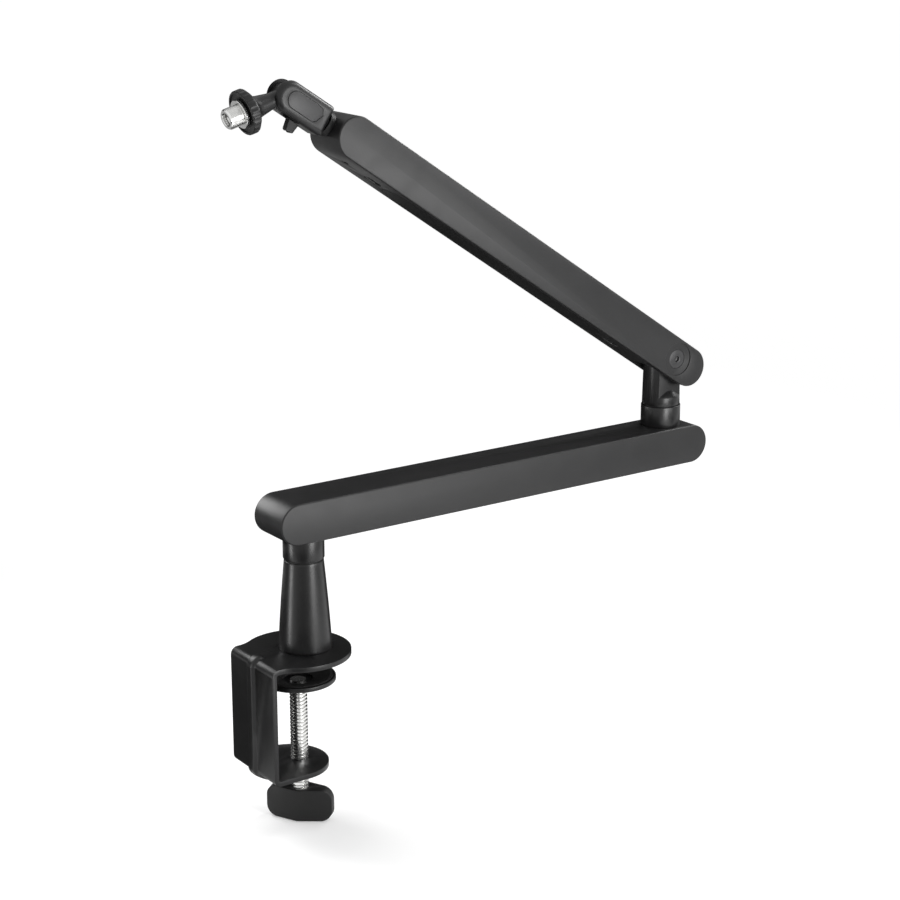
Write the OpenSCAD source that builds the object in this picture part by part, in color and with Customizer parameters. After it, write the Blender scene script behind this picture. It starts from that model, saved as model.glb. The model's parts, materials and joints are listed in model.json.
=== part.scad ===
// Desk-clamped boom arm for a microphone, with a swivelling lower arm, a spring-balanced
// upper arm and a tilting head that ends in a 5/8 inch microphone thread.
// Millimetres, +Z up. The origin is on the post's axis at the desk surface, and the clamp
// opens towards +X. The lower arm lies along +X and the upper arm rises back towards -X.

/* [Desk clamp] */
// Thickness of the clamp's steel strip
sheet_t = 4; // [3.8:0.2:4]
// Width of the strip, across the spine and the lower jaw
strip_w = 64; // [56:0.2:72]
// Radius of the round top plate
plate_r = 42.4; // [38:0.2:50]
// Radius of the hollow corners where the strip widens into the top plate
flare_r = 25; // [12:1:30]
// Distance of the spine's outer face behind the clamp screw's axis
spine_back = 41.9; // [38:0.1:52]
// Opening from the desk surface down to the lower jaw
jaw_gap = 86.6; // [70:0.2:110]
// How far the lower jaw reaches past the clamp screw's axis
jaw_nose = 21.8; // [18:0.2:30]
// Height that the stiffening bead stands out of the strip
bead_h = 2.4; // [2.2:0.1:2.5]
// Width of the bead at its foot
bead_w = 13; // [11:0.5:20]
// Width of the bead's flat crest
bead_crest_w = 5; // [4:0.5:6]
// Thickness of the foam pad under the top plate
desk_pad_t = 2; // [1:0.5:4]
// Width of the bare rim round the foam pad
desk_pad_inset = 5; // [3:0.5:10]

/* [Clamp screw] */
// Distance of the clamp screw's axis behind the post's axis
screw_setback = 7.4; // [4:0.2:12]
// Outer diameter of the clamp screw
screw_d = 14; // [12:0.5:16]
// Distance that the screw moves in one turn
screw_pitch = 3; // [2:0.5:4]
// Opening between the desk pad and the pressure pad, as shown
desk_gap = 15.5; // [12.8:0.1:20]
// Radius of the pressure plate
pressure_r = 30; // [25:0.5:34]
// Height of the pressure plate's rim
pressure_t = 4; // [3:0.5:5]
// Depth of the dish in the pressure plate, below the top of its rim
dish_depth = 5.1; // [4:0.1:7]
// Thickness of the rubber lining in the dish
pressure_pad_t = 1.2; // [0.8:0.1:2]
// Radius of the welded nut under the lower jaw
weld_nut_r = 13; // [11:0.5:15]
// Height of the welded nut
weld_nut_h = 7; // [5:0.5:8]
// Length of the knob, from wing to wing
knob_l = 54.8; // [45:0.2:64]
// Height of the knob
knob_h = 26.4; // [20:0.2:32]
// Thickness of the knob at its middle
knob_mid_t = 21; // [19:0.5:26]
// Thickness of the knob at the end of each wing
knob_end_t = 7; // [5:0.5:12]
// Corner radius of the knob's wings, seen from the front
knob_corner_r = 9; // [4:0.5:11]
// Gap between the welded nut and the knob, as shown
knob_drop = 13.8; // [12.6:0.1:30]
// How far the knob is turned from the arm's plane, as shown
knob_turn = 50.5; // [0:0.5:180]

/* [Post] */
// Height of the tapered post above the top plate
post_h = 72.9; // [60:0.1:100]
// Radius of the post at its foot
post_foot_r = 21.1; // [19:0.1:24]
// Radius of the post at its top
post_top_r = 15.6; // [14.5:0.1:17]
// Outer radius of the bushes in the post and in the elbow
bush_r = 9.5; // [8.7:0.1:10.5]
// Radius of the two swivel spindles
spindle_r = 7; // [6:0.1:7.5]
// Thickness of the bushes' thrust flanges
thrust_t = 1; // [0.8:0.1:1.5]
// Radius of the thrust flanges
thrust_r = 15; // [13:0.1:15.2]
// Radius of the collar under the lower arm
base_collar_r = 16.3; // [15.8:0.1:18]
// Height of the collar under the lower arm
base_collar_h = 17.95; // [14:0.05:26]

/* [Arms] */
// Height of both arms' section
beam_h = 32.8; // [30:0.1:36]
// Width of both arms' section
beam_w = 41.6; // [39:0.1:46]
// Wall thickness of the arms' shells
wall = 3; // [2.6:0.1:3.4]
// Chamfer round the arms' side faces
beam_edge = 0.8; // [0.4:0.1:1.5]
// Distance from the post's axis to the elbow's axis
arm_span = 360.4; // [300:1:420]
// Length from the post's axis back to the centre of the lower arm's end round
base_overhang = 15.1; // [14:0.1:24]
// Length from the elbow's axis on to the centre of the lower arm's end round
elbow_overhang = 19; // [15:0.1:26]
// Width of the cable slot under each arm
cable_slot_w = 20; // [14:0.5:22]
// Width of the cable covers' face
cover_w = 26; // [24:0.5:28]
// Thickness of the cable covers' face
cover_t = 1.4; // [1:0.1:1.8]

/* [Elbow] */
// Radius of the collar on the lower arm at the elbow
elbow_collar_r = 16.9; // [16.3:0.1:18]
// Height of the collar on the lower arm at the elbow
elbow_collar_h = 18.15; // [14:0.05:26]
// Height of the hinge's axis above the elbow column's foot
hinge_rise = 41.9; // [39:0.1:50]
// Radius of the elbow column at its foot
column_r = 16.2; // [15.8:0.1:16.2]
// Radius of the elbow column at the height of the hinge
column_top_r = 15.2; // [14.8:0.1:15.6]
// Thickness of the tongue on the column that goes up into the upper arm
tongue_w = 22; // [18:0.5:23]
// Height of the column's round foot, up to its dome
column_round_h = 7; // [5:0.1:8]
// Height of the column's dome, up to the tongue
dome_h = 5.3; // [3:0.1:6]
// Radius of the hinge bolt's shank
hinge_bolt_r = 4; // [3:0.1:4.1]
// Radius of the hinge bolt's head
hinge_head_r = 8; // [7:0.1:8.5]
// Height of the hinge bolt's head
hinge_head_h = 4.6; // [3.5:0.1:4.8]
// Radius of the shallow round recess over the hinge
recess_r = 14; // [11:0.1:15]
// Depth of the shallow round recess over the hinge
recess_depth = 1.2; // [0.8:0.1:1.6]

/* [Upper arm] */
// Angle of the upper arm above the horizontal, as shown
arm_tilt = 33.67; // [5:0.01:70]
// Length from the hinge back to the centre of the upper arm's elbow end round
hinge_overhang = 16.4; // [16:0.05:18]
// Length from the hinge to the centre of the upper arm's far end round
upper_span = 383.6; // [340:0.1:440]
// Distance of the spring's crank pin from the hinge's axis
crank_arm = 8.6; // [8.5:0.1:8.8]
// Radius of the spring's crank pin
crank_pin_r = 1.8; // [1.5:0.1:1.8]
// Outer radius of the balance spring
spring_r = 8; // [6:0.1:9.5]
// Wire diameter of the balance spring
spring_wire = 2.2; // [1.5:0.1:2.4]
// Number of coils in the balance spring
spring_coils = 40; // [20:1:60]
// Distance from one coil of the balance spring to the next
spring_pitch = 3.4; // [2.6:0.1:4]

/* [Head] */
// Distance from the upper arm's end to the head's tilt axis
tip_out = 42.2; // [40:0.1:80]
// Drop of the tip's axis below the upper arm's centre line
tip_drop = 0.5; // [0:0.1:2]
// Radius of the round end of the tip housing
tip_r = 12.6; // [12.2:0.1:14]
// Width of the tip housing
tip_w = 20; // [19:0.5:26]
// Edge radius of the tip housing
tip_edge_r = 5.5; // [3:0.5:6]
// Corner radius of the tip housing at the arm
tip_corner_r = 4.5; // [2:0.1:5]
// Angle between the tip housing's body and the spigot
tip_tilt = 0.6; // [0:0.1:3]
// Gap between the upper arm's end and the tip housing
tip_gap = 4.6; // [2.5:0.1:6]
// Radius of the spigot that the tip housing turns on
spigot_r = 7; // [5.5:0.1:7.5]
// Width of the neck's knuckle
knuckle_w = 12; // [10:0.5:12.4]
// Radius of the neck's knuckle
knuckle_r = 9.8; // [9:0.1:10.2]
// Droop of the neck below the horizontal, as shown
neck_droop = 16.5; // [0:0.5:45]
// Height of the neck's axis above the tilt axis
neck_rise = 1.2; // [0:0.1:2.5]
// Radius of the neck beside the knuckle
neck_r = 6.2; // [5.4:0.1:6.4]
// Radius of the neck where its flare begins
neck_end_r = 8; // [7:0.1:9]
// Radius of the neck's flare behind the lock ring
flare_end_r = 15.2; // [13:0.1:16]
// Distance from the tilt axis to the back of the lock ring
ring_start = 32.3; // [31:0.1:38]
// Radius of the lock ring
ring_r = 17; // [16.5:0.1:20]
// Width of the lock ring
ring_w = 6; // [5:0.1:8]
// Number of finger scallops round the lock ring
ring_scallops = 24; // [12:1:36]
// Depth of each finger scallop
scallop_depth = 0.4; // [0.2:0.1:0.8]
// Outer diameter of the 5/8 inch microphone thread
mic_thread_d = 15.875; // [15.8:0.005:15.9]
// Length of the 5/8 inch microphone thread
mic_thread_l = 11; // [8:0.5:16]
// Outer diameter of the 3/8 inch stud inside it
stud_d = 9.525; // [9.4:0.005:9.6]
// Radius of the thread adapter's flange
adapter_flange_r = 10.8; // [10:0.1:13]
// Thickness of the thread adapter's flange
adapter_flange_t = 2.4; // [1.5:0.1:3]
// Distance from the tilt axis back to the thumb screw
thumb_back = 14.9; // [14.8:0.1:18]
// Radius of the thumb screw's thread
thumb_r = 2; // [1.6:0.1:2.1]
// Length of the thumb screw's wing, out of the housing
thumb_wing_h = 8.1; // [6:0.1:12]
// Width of the thumb screw's wing beside the housing
thumb_wing_w = 9.4; // [9:0.1:14]
// Width of the thumb screw's wing at its end
thumb_end_w = 7; // [6:0.1:9]
// Thickness of the thumb screw's wing
thumb_wing_t = 5.4; // [4:0.1:7]

/* [Fits] */
// Radial clearance of a shaft that turns in a bore
run_fit = 0.05; // [0.02:0.01:0.08]
// Clearance round a piece that is seated or screwed fast
seat_fit = 0.1; // [0.05:0.05:0.2]
// Gap between two faces that move past each other
face_gap = 0.1; // [0.05:0.05:0.3]

/* [Hidden] */
$fn = 64;
overcut = 1;

// Outer radius of the clamp's two bends
bend_r = 6;

// Heights, from the desk up
plate_top = desk_pad_t + sheet_t;
post_top = plate_top + post_h;
collar_bottom = post_top + thrust_t + face_gap;
beam_bottom = collar_bottom + base_collar_h;
beam_top = beam_bottom + beam_h;
beam_mid = beam_bottom + beam_h / 2;
elbow_collar_top = beam_top + elbow_collar_h;
column_foot = elbow_collar_top + thrust_t + face_gap;
hinge_z = column_foot + hinge_rise;

// The clamp's side profile
screw_x = -screw_setback;
spine_x = screw_x - spine_back;
bend_x = spine_x + bend_r;
jaw_top = -jaw_gap;
jaw_bottom = jaw_top - sheet_t;
jaw_end_x = screw_x + jaw_nose - strip_w / 2;
top_bend_z = plate_top - bend_r;
low_bend_z = jaw_bottom + bend_r;
flare_y = strip_w / 2 + flare_r;
flare_x = screw_x - sqrt(pow(plate_r + flare_r, 2) - pow(flare_y, 2));
flare_bite = 0.05;
bead_root = 0.5;
bead_toe = 0.06;
bead_steps = 6;
bead_end_turn = 4;
flare_share = plate_r / (plate_r + flare_r);
flare_touch = [screw_x + (flare_x - screw_x) * flare_share, flare_y * flare_share];

// The pressure plate and the screw, from the top down
screw_r = screw_d / 2;
pad_proud = 0.5;
rim_w = 2.5;
rim_edge = 0.6;
rim_lip = 0.7;
pressure_top = -desk_gap - pad_proud;
pressure_bottom = pressure_top - pressure_t;
dish_floor = pressure_top - dish_depth;
dish_t = 1.2;
dish_r = 8.4;
pad_inner_r = 12;
hub_r = 7.6;
hub_h = 3;
tip_stem_r = 4;
tip_head_r = 6.2;
tip_head_h = 1.4;
screw_shoulder = dish_floor - dish_t - hub_h - face_gap;
weld_nut_bottom = jaw_bottom - weld_nut_h;
knob_top = weld_nut_bottom - knob_drop;
knob_bottom = knob_top - knob_h;
knob_socket = 16;

// The post's screws
post_screw_r = 2.5;
post_screw_head_r = 5;
post_screw_head_h = 2.5;
post_screw_l = 14;
post_screw_pcd_r = (bush_r + post_foot_r) / 2;
post_floor = 6;
lower_bush_h = 13;
upper_bush_h = 16;

// The lower arm
elbow_x = arm_span;
boss_r = bush_r + 4.5;
boss_h = 10;
shoulder_r = 10;
thread_r = 6;
spindle_washer_t = 1.5;
spindle_nut_h = 8;
spindle_nut_r = 9.8;
pocket_r = 11.3;
pocket_h = 14;
cover_lip_t = 1;
lower_cover_start = base_overhang + 12;
lower_cover_end = arm_span - boss_r - 8;

// The elbow
elbow_thread_r = 5;
elbow_washer_r = 10.6;
elbow_washer_t = 1.6;
elbow_nut_r = 8;
elbow_nut_h = 5;
column_bore_h = 20;
tongue_head_r = beam_h / 2 - wall - 0.4;
tongue_corner_in = 0.3;
tongue_corner_turn = 8;
tongue_shoulder_low = 19;
tongue_shoulder_high = 8.7;
crank_angle = 55;
crank_slot_w = 6.6;
crank_slot_rise = 2;
link_t = 6;
link_eye_r = 3.6;
link_bar_h = 4;
link_l = 52;
link_rod_r = 1.5;
link_rod_drop = 0.5;
link_rod_l = 32;

// The upper arm's shell, measured along the arm from the hinge
inner_h = beam_h - 2 * wall;
inner_w = beam_w - 2 * wall;
tongue_gap = 0.9;
hinge_boss_r = 10.5;
hinge_boss_web = beam_w / 2 - recess_depth - 0.2 - hinge_head_h - tongue_w / 2 - tongue_gap;
washer_r = 9.5;
fork_slot_w = tongue_w + 1.2;
fork_start = 14;
fork_open_w = 2 * column_r + 0.6;
fork_open_top = 7;
fork_slot_end = 17.5;
crank_local_x = crank_arm * cos(crank_angle + arm_tilt);
crank_local_z = crank_arm * sin(crank_angle + arm_tilt);
spring_start = 66;
anchor_l = 14;
spring_body_l = spring_coils * spring_pitch;
spring_z = inner_h / 2 - spring_r - 0.4;
anchor_gap = 6;
anchor_bite = 10;
anchor_start = spring_start + spring_body_l + anchor_gap;
upper_cover_start = 78;
cover_margin = 56;
upper_cover_end = upper_span - cover_margin;
entry_slot_l = 16;
entry_slot_w = 9;
near_entry = 58;
entry_margin = 42.5;
far_entry = upper_span - entry_margin;
plug_screw_back = 13;
plug_l = 20;

// The tip, measured from the head's tilt axis
tip_reach = upper_span + beam_h / 2 + tip_out;
tip_length = tip_out - tip_gap;
spigot_end = 11.4;
groove_r = spigot_r - 1.5;
groove_w = 2 * thumb_r + 0.6;
fork_slot = knuckle_w + 0.6;
fork_depth = knuckle_r + 1.1;
tilt_pin_r = 4;
cap_t = 1.2;
cap_h = 13.4;
cap_round_x = 3.7;
cap_end = 29.8;
cap_proud = 0.2;
cap_groove = 0.3;
thumb_gap = 0.3;
thumb_lobe_r = 1.9;
neck_start = 13.5;
neck_end = ring_start - 8.5;
ring_edge = 1;
scallop_r = 4;
stud_depth = 10;
stud_out = 8;
thread_chamfer = 0.8;

function post_radius(share) = post_foot_r - (post_foot_r - post_top_r) * pow(share, 1.25);

// Stands a round shape's axis along Y
module along_y() rotate([90, 0, 0]) children();

// Lays a shape that was drawn up along +Z down along -X
module along_minus_x() rotate([0, -90, 0]) children();

// The upper arm's frame: its origin is on the hinge, and the arm runs out along -X
module in_upper_arm() translate([elbow_x, 0, hinge_z]) rotate([0, arm_tilt, 0]) children();

// The tip's frame: its origin is on the head's tilt axis, along the upper arm
module in_tip() in_upper_arm() translate([-tip_reach, 0, -tip_drop]) children();

// The head's frame: its origin is on the head's tilt axis, along the neck
module in_head() in_tip() rotate([0, -arm_tilt - neck_droop, 0]) children();

// The neck's axis, with +Z running out from the tilt axis to the microphone thread
module on_neck() in_head() translate([0, 0, neck_rise]) along_minus_x() children();

// A tube or ring between two heights
module tube(r_out, r_in, z_low, z_high) translate([0, 0, z_low]) difference() {
    cylinder(r = r_out, h = z_high - z_low);
    translate([0, 0, -overcut]) cylinder(r = r_in, h = z_high - z_low + 2 * overcut);
}

// A rod between two heights
module rod(r, z_low, z_high) translate([0, 0, z_low]) cylinder(r = r, h = z_high - z_low);

// A slot with round ends in plan, from x1 to x2
module slot_plan(x1, x2, w) {
    translate([x1 + w / 2, -w / 2]) square([x2 - x1 - w, w]);
    translate([x1 + w / 2, 0]) circle(d = w);
    translate([x2 - w / 2, 0]) circle(d = w);
}

// Outline of the clamp's top plate: a disc that flows into the strip. The hollow corners
// bite a hair deeper than a true tangent, so that they cross the disc cleanly
module top_plate_plan() intersection() {
    union() {
        translate([screw_x, 0]) circle(r = plate_r);
        translate([bend_x, -strip_w / 2]) square([screw_x - bend_x, strip_w]);
        for (side = [0, 1]) mirror([0, side]) difference() {
            polygon([[flare_x, 0], [flare_x, flare_y], flare_touch, [screw_x, 0]]);
            translate([flare_x, flare_y]) circle(r = flare_r + flare_bite);
        }
    }
    translate([bend_x, -plate_r - flare_r]) square([3 * plate_r, 2 * (plate_r + flare_r)]);
}

// Outline of the lower jaw: the strip, ending in a half round
module jaw_plan() {
    translate([bend_x, -strip_w / 2]) square([jaw_end_x - bend_x, strip_w]);
    translate([jaw_end_x, 0]) circle(d = strip_w);
}

// Section of the bead at a radius from a bend's centre: a crest with two smooth flanks
module bead_section(radius, foot, crest) {
    flank = [for (i = [0 : bead_steps]) [
        radius - bead_toe + (bead_h + bead_toe) * (1 - cos(180 * i / bead_steps)) / 2,
        foot / 2 - (foot - crest) / 2 * i / bead_steps]];
    polygon(concat([[radius - bead_root, foot / 2]], flank,
        [for (i = [bead_steps : -1 : 0]) [flank[i][0], -flank[i][1]]],
        [[radius - bead_root, -foot / 2]]));
}

// Frame on a bend's axis with X pointing outwards at an angle and Z along the bend
module on_bend(z, angle) translate([bend_x, 0, z]) along_y() rotate([0, 0, angle]) children();

// The pressed bead: down the spine and round both bends, sinking into both plates
module bead(radius, foot, crest) {
    sink = acos(radius / (radius + bead_h)) + bead_end_turn;
    for (bend = [[top_bend_z, 90 - sink], [low_bend_z, 180]]) on_bend(bend[0], bend[1])
        rotate_extrude(angle = 90 + sink) bead_section(radius, foot, crest);
    on_bend(top_bend_z, 180) rotate([-90, 0, 0])
        linear_extrude(top_bend_z - low_bend_z) bead_section(radius, foot, crest);
}

module clamp_frame() color("#262626") difference() {
    union() {
        translate([0, 0, desk_pad_t]) linear_extrude(sheet_t) top_plate_plan();
        translate([0, 0, jaw_bottom]) linear_extrude(sheet_t) jaw_plan();
        translate([spine_x, -strip_w / 2, low_bend_z])
            cube([sheet_t, strip_w, top_bend_z - low_bend_z]);
        for (bend = [[top_bend_z, 90], [low_bend_z, 180]]) on_bend(bend[0], bend[1])
            rotate_extrude(angle = 90) translate([bend_r - sheet_t, -strip_w / 2])
                square([sheet_t, strip_w]);
        bead(bend_r, bead_w, bead_crest_w);
    }
    bead(bend_r - sheet_t, bead_w - 2, bead_crest_w - 2);
    for (turn = [0 : 120 : 240]) rotate([0, 0, turn]) translate([post_screw_pcd_r, 0, 0]) {
        rod(post_screw_r + seat_fit, desk_pad_t - overcut, plate_top + overcut);
        translate([0, 0, desk_pad_t]) cylinder(r1 = post_screw_head_r + seat_fit,
            r2 = post_screw_r + seat_fit, h = post_screw_head_h + seat_fit);
    }
    translate([screw_x, 0, 0]) rod(screw_r + run_fit, jaw_bottom - overcut, jaw_top + overcut);
}

module desk_pad() color("#1a1a1a") linear_extrude(desk_pad_t)
    translate([screw_x, 0]) circle(r = plate_r - desk_pad_inset);

module jaw_nut() color("#2b2b2b") translate([screw_x, 0, 0])
    tube(weld_nut_r, screw_r + run_fit, weld_nut_bottom, jaw_bottom);

// The post is turned: its side swells slightly between the foot and the top
module post() color("#2e2e2e") difference() {
    rotate_extrude() polygon(concat([[0, plate_top]],
        [for (i = [0 : 12]) [post_radius(i / 12), plate_top + post_h * i / 12]],
        [[0, post_top]]));
    rod(bush_r + seat_fit, plate_top + post_floor, post_top + overcut);
    for (turn = [0 : 120 : 240]) rotate([0, 0, turn]) translate([post_screw_pcd_r, 0, 0])
        rod(post_screw_r + seat_fit, plate_top - overcut,
            desk_pad_t + post_screw_l + seat_fit);
}

// Three countersunk screws that hold the post to the top plate from below
module post_screws() color("silver")
    for (turn = [0 : 120 : 240]) rotate([0, 0, turn]) translate([post_screw_pcd_r, 0, 0]) {
        rod(post_screw_r, desk_pad_t + post_screw_head_h, desk_pad_t + post_screw_l);
        translate([0, 0, desk_pad_t])
            cylinder(r1 = post_screw_head_r, r2 = post_screw_r, h = post_screw_head_h);
    }

module post_lower_bush() color("ivory")
    tube(bush_r, spindle_r + run_fit, plate_top + post_floor,
        plate_top + post_floor + lower_bush_h);

module post_upper_bush() color("#161616") {
    tube(bush_r, spindle_r + run_fit, post_top - upper_bush_h, post_top);
    tube(thrust_r, spindle_r + run_fit, post_top, post_top + thrust_t);
}

// Height of the dish's upper face at a radius
function dish_z(r) = dish_floor + (pressure_top - rim_lip - dish_floor)
    * (r - dish_r) / (pressure_r - rim_w - dish_r);

// A dished steel saucer on the clamp screw's end, with a hub below for the screw's stem
module pressure_plate() color("#202020") translate([screw_x, 0, 0]) rotate_extrude() polygon([
    [tip_stem_r + run_fit, dish_floor], [dish_r, dish_floor],
    [pressure_r - rim_w, pressure_top - rim_lip], [pressure_r - rim_w, pressure_top],
    [pressure_r - rim_edge, pressure_top], [pressure_r, pressure_top - rim_edge],
    [pressure_r, pressure_bottom + rim_edge], [pressure_r - rim_edge, pressure_bottom],
    [pressure_r - rim_w, pressure_bottom], [pressure_r - rim_w, pressure_top - rim_lip - dish_t],
    [hub_r, dish_floor - dish_t], [hub_r, dish_floor - dish_t - hub_h],
    [tip_stem_r + run_fit, dish_floor - dish_t - hub_h]]);

// Rubber lining in the dish, a little proud of the rim
module pressure_pad() color("#141414") translate([screw_x, 0, 0]) rotate_extrude() polygon([
    [pad_inner_r, dish_z(pad_inner_r)], [pressure_r - rim_w, pressure_top - rim_lip],
    [pressure_r - rim_w, pressure_top + pad_proud],
    [pressure_r - rim_w - 2, pressure_top + pad_proud],
    [pad_inner_r, dish_z(pad_inner_r) + pressure_pad_t]]);

// The trapezoidal-thread clamp screw, drawn at its outer diameter
module clamp_screw() color("silver") translate([screw_x, 0, 0]) {
    rod(screw_r, knob_top - knob_socket, screw_shoulder);
    rod(tip_stem_r, screw_shoulder, dish_floor + face_gap);
}

// The rivet head that keeps the pressure plate on the screw
module screw_tip() color("silver") translate([screw_x, 0, 0])
    rod(tip_head_r, dish_floor + face_gap, dish_floor + face_gap + tip_head_h);

// The knob's outline from above: a slim lozenge with blunt ends
module knob_plan() polygon([[-knob_l / 2, -knob_end_t / 2], [0, -knob_mid_t / 2],
    [knob_l / 2, -knob_end_t / 2], [knob_l / 2, knob_end_t / 2], [0, knob_mid_t / 2],
    [-knob_l / 2, knob_end_t / 2]]);

// The knob's outline from the front: a rectangle with round corners
module knob_front() {
    translate([-knob_l / 2, knob_corner_r]) square([knob_l, knob_h - 2 * knob_corner_r]);
    translate([-knob_l / 2 + knob_corner_r, 0]) square([knob_l - 2 * knob_corner_r, knob_h]);
    for (x = [-1, 1], z = [knob_corner_r, knob_h - knob_corner_r])
        translate([x * (knob_l / 2 - knob_corner_r), z]) circle(r = knob_corner_r);
}

module clamp_knob() color("#1c1c1c") translate([screw_x, 0, 0]) rotate([0, 0, -knob_turn])
    difference() {
        intersection() {
            translate([0, 0, knob_bottom]) linear_extrude(knob_h) knob_plan();
            translate([0, knob_mid_t, knob_bottom]) along_y()
                linear_extrude(2 * knob_mid_t) knob_front();
        }
        rod(screw_r + seat_fit, knob_top - knob_socket, knob_top + overcut);
    }

// Section of an arm across its length, with small chamfers along the side faces
module beam_section(h, w, edge) polygon([
    [-h / 2, -w / 2 + edge], [-h / 2 + edge, -w / 2], [h / 2 - edge, -w / 2],
    [h / 2, -w / 2 + edge], [h / 2, w / 2 - edge], [h / 2 - edge, w / 2],
    [-h / 2 + edge, w / 2], [-h / 2, w / 2 - edge]]);

// A bar with half-round ends between the centres x1 and x2, w wide along Y
module beam(x1, x2, h, w, edge) {
    translate([x1, 0, 0]) rotate([0, 90, 0]) linear_extrude(x2 - x1) beam_section(h, w, edge);
    for (x = [x1, x2]) translate([x, 0, 0]) along_y() rotate_extrude() intersection() {
        beam_section(h, w, edge);
        translate([0, -w]) square([h, 2 * w]);
    }
}

// Rebated slot for a cable cover in an arm's underside, at z = 0 with the arm above
module cover_opening(x1, x2) {
    translate([0, 0, -overcut]) linear_extrude(wall + 2 * overcut)
        slot_plan(x1 + (cover_w - cable_slot_w) / 2, x2 - (cover_w - cable_slot_w) / 2,
            cable_slot_w);
    translate([0, 0, -overcut]) linear_extrude(cover_t + overcut) slot_plan(x1, x2, cover_w);
}

// Cable cover that lies flush in its rebate, with a lip that clips into the slot
module cover(x1, x2) {
    linear_extrude(cover_t)
        slot_plan(x1 + seat_fit, x2 - seat_fit, cover_w - 2 * seat_fit);
    difference() {
        lip_inset = (cover_w - cable_slot_w) / 2 + seat_fit;
        translate([0, 0, cover_t]) linear_extrude(wall - cover_t)
            slot_plan(x1 + lip_inset, x2 - lip_inset, cable_slot_w - 2 * seat_fit);
        translate([0, 0, cover_t]) linear_extrude(wall - cover_t + overcut)
            slot_plan(x1 + lip_inset + cover_lip_t, x2 - lip_inset - cover_lip_t,
                cable_slot_w - 2 * seat_fit - 2 * cover_lip_t);
    }
}

module lower_arm_shell() color("#303030") difference() {
    union() {
        difference() {
            translate([0, 0, beam_mid]) beam(-base_overhang, elbow_x + elbow_overhang,
                beam_h, beam_w, beam_edge);
            translate([0, 0, beam_mid]) beam(-base_overhang, elbow_x + elbow_overhang,
                inner_h, inner_w, beam_edge);
        }
        rod(boss_r, beam_bottom + wall / 2, beam_bottom + wall + boss_h);
        translate([elbow_x, 0, 0]) rod(boss_r, beam_bottom + wall / 2, beam_top - wall / 2);
    }
    rod(thread_r + seat_fit, beam_bottom - overcut, beam_top - wall);
    translate([elbow_x, 0, 0]) {
        rod(bush_r + seat_fit, beam_bottom, beam_top + overcut);
        rod(pocket_r, beam_bottom - overcut, beam_bottom + pocket_h);
    }
    translate([0, 0, beam_bottom]) cover_opening(lower_cover_start, lower_cover_end);
}

module base_collar() color("#2e2e2e") difference() {
    union() {
        translate([0, 0, collar_bottom])
            cylinder(r1 = base_collar_r - 0.8, r2 = base_collar_r, h = 0.8);
        rod(base_collar_r, collar_bottom + 0.8, beam_bottom);
    }
    rod(shoulder_r + seat_fit, collar_bottom - overcut, beam_bottom + overcut);
}

// The stem that swivels in the post, with a shoulder in the collar and a thread above
module base_spindle() color("silver") {
    rod(spindle_r, plate_top + post_floor + face_gap, collar_bottom);
    rod(shoulder_r, collar_bottom, beam_bottom);
    rod(thread_r, beam_bottom,
        beam_bottom + wall + boss_h + spindle_washer_t + spindle_nut_h + 1);
}

module spindle_washer() color("silver")
    tube(spindle_nut_r + 1, thread_r + seat_fit, beam_bottom + wall + boss_h,
        beam_bottom + wall + boss_h + spindle_washer_t);

module spindle_nut() color("silver") translate([0, 0, beam_bottom + wall + boss_h
    + spindle_washer_t]) difference() {
        cylinder(r = spindle_nut_r, h = spindle_nut_h, $fn = 6);
        translate([0, 0, -overcut])
            cylinder(r = thread_r + seat_fit, h = spindle_nut_h + 2 * overcut);
    }

module lower_cable_cover() color("#222222") translate([0, 0, beam_bottom])
    cover(lower_cover_start, lower_cover_end);

module elbow_collar() color("#2e2e2e") translate([elbow_x, 0, 0])
    tube(elbow_collar_r, bush_r + seat_fit, beam_top, elbow_collar_top);

module elbow_bush() color("#161616") translate([elbow_x, 0, 0]) {
    tube(bush_r, spindle_r + run_fit, beam_bottom + pocket_h, elbow_collar_top);
    tube(thrust_r, spindle_r + run_fit, elbow_collar_top, elbow_collar_top + thrust_t);
}

// Plug in the lower arm's underside that covers the elbow's nut
module elbow_cap() color("#1c1c1c") translate([elbow_x, 0, 0]) {
    rod(pocket_r - seat_fit, beam_bottom, beam_bottom + 1.2);
    tube(pocket_r - seat_fit, pocket_r - 1.2, beam_bottom + 1.2, beam_bottom + 4);
}

// Side view of the tongue about the hinge: wide below, narrowed to clear the shell above
module tongue_side() {
    circle(r = tongue_head_r);
    side_x = (tongue_head_r - tongue_corner_in) * cos(tongue_corner_turn);
    side_z = (tongue_head_r - tongue_corner_in) * sin(tongue_corner_turn);
    polygon([[-column_r, -hinge_rise + column_round_h], [column_r, -hinge_rise + column_round_h],
        [column_r, -tongue_shoulder_low], [side_x, side_z], [-side_x, side_z],
        [-column_r, -tongue_shoulder_high]]);
}

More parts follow.
